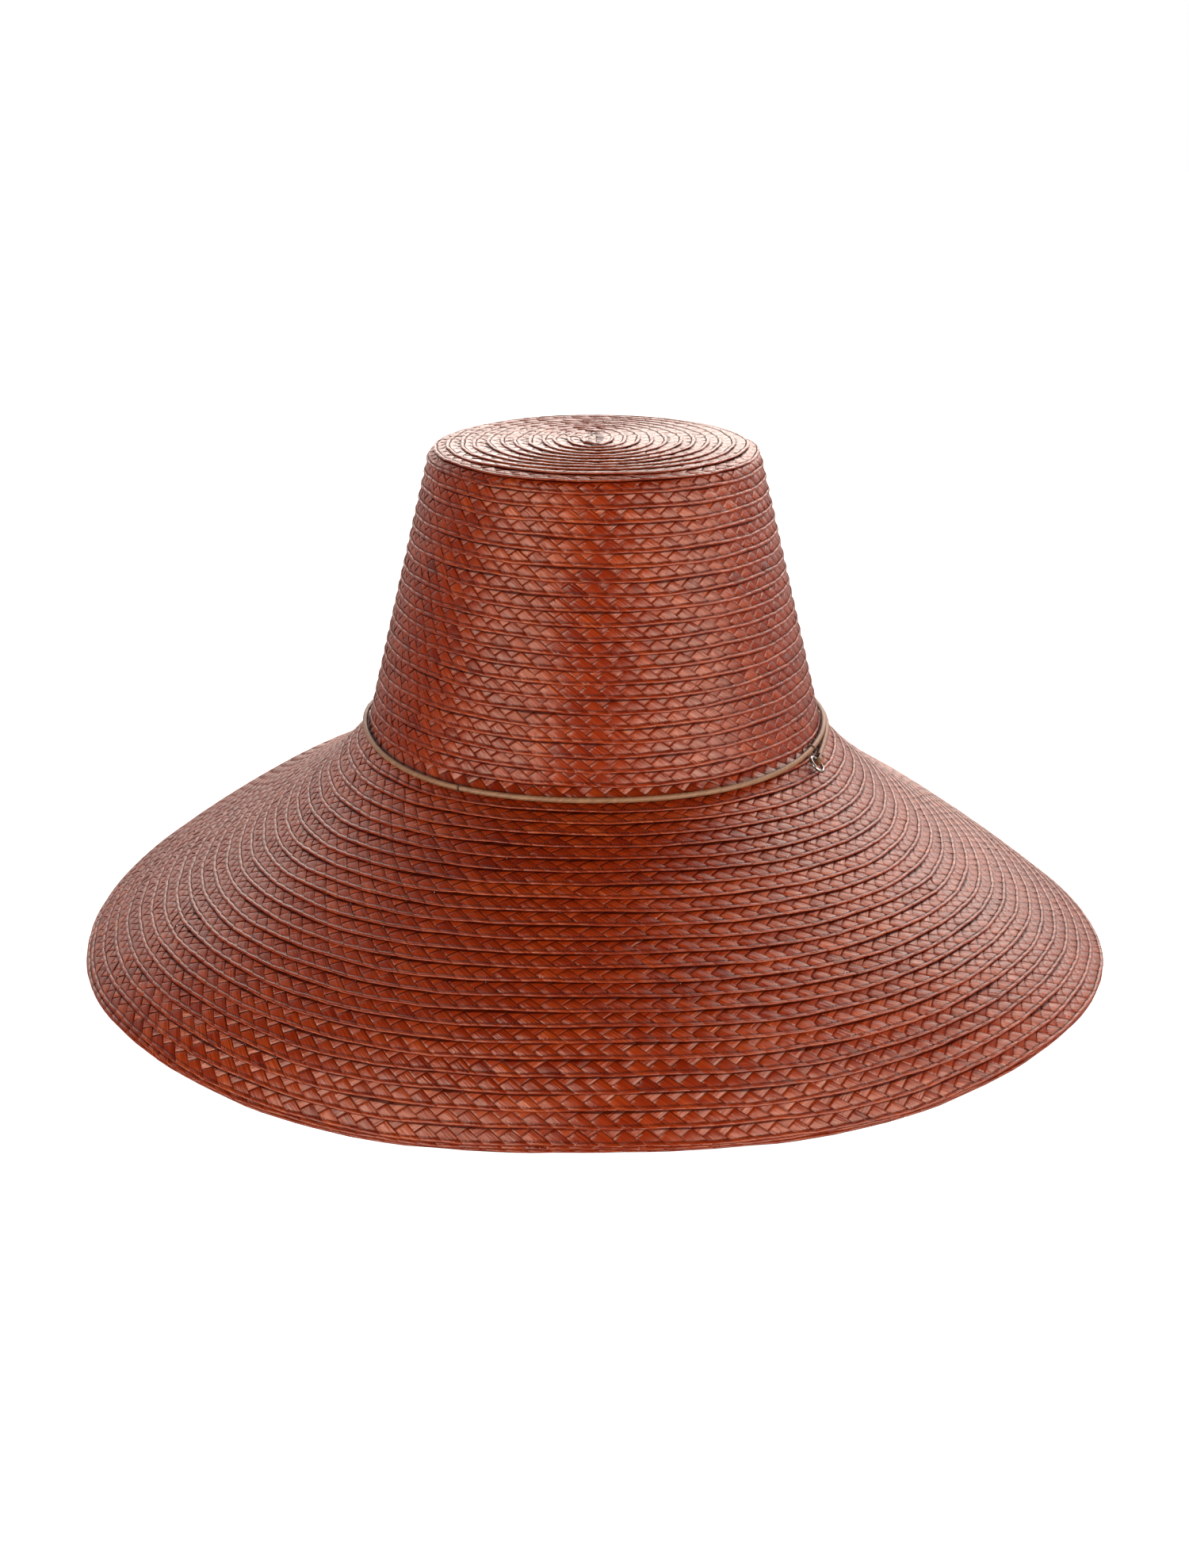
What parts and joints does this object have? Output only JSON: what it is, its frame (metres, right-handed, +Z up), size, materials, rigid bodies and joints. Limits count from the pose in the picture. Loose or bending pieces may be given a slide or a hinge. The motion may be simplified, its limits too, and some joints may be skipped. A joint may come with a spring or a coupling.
{
  "type": "conical palm-braid hat",
  "caption": "Wide-brimmed sun hat sewn in a spiral from plaited palm braid, with a tapering crown, a domed oval tip, a sloping wavy brim, a thin cord with a metal ring, and a sweatband.",
  "frame": {"origin": "middle of the head opening at the level where crown and brim meet", "axes": "+Z up through the crown; the front of the hat, which the wearer faces, is -Y; +X is the wearer's left"},
  "size_m": [0.3862, 0.401, 0.1939],
  "materials": {
    "palm_braid": "dyed palm leaf strips with a satin sheen",
    "sewing_thread": "matt cotton thread",
    "band_fabric": "ribbed woven cotton",
    "ribbon": "ribbed ribbon",
    "band_thread": "matt cotton thread",
    "label_fabric": "smooth woven satin, blank",
    "waxed_cord": "waxed, low gloss",
    "tack_thread": "matt cotton thread",
    "wrap_leather": "smooth leather",
    "ring_metal": "polished nickel-like"
  },
  "bodies": {
    "hat": {"tip_braid": "palm_braid", "crown_upper_braid": "palm_braid", "crown_lower_braid": "palm_braid", "brim_inner_braid": "palm_braid", "brim_middle_braid": "palm_braid", "brim_outer_braid": "palm_braid", "brim_edge_turnback": "palm_braid", "tip_stitching": "sewing_thread", "crown_stitching": "sewing_thread", "brim_stitching": "sewing_thread", "sweatband": "band_fabric", "sweatband_join_ribbon": "ribbon", "sweatband_stitching": "band_thread", "size_label": "label_fabric", "cord_band": "waxed_cord", "cord_tacks": "tack_thread", "cord_end_wrap": "wrap_leather"},
    "ring": {"end_ring": "ring_metal"}
  },
  "joints": [
    {"name": "ring_swing", "type": "hinge", "parent": "hat", "child": "ring", "pos_m": [0.08054, -0.0496, -0.00387], "axis": [-0.6821, 0.1249, 0.7205], "range_deg": [-4, 130]}
  ]
}
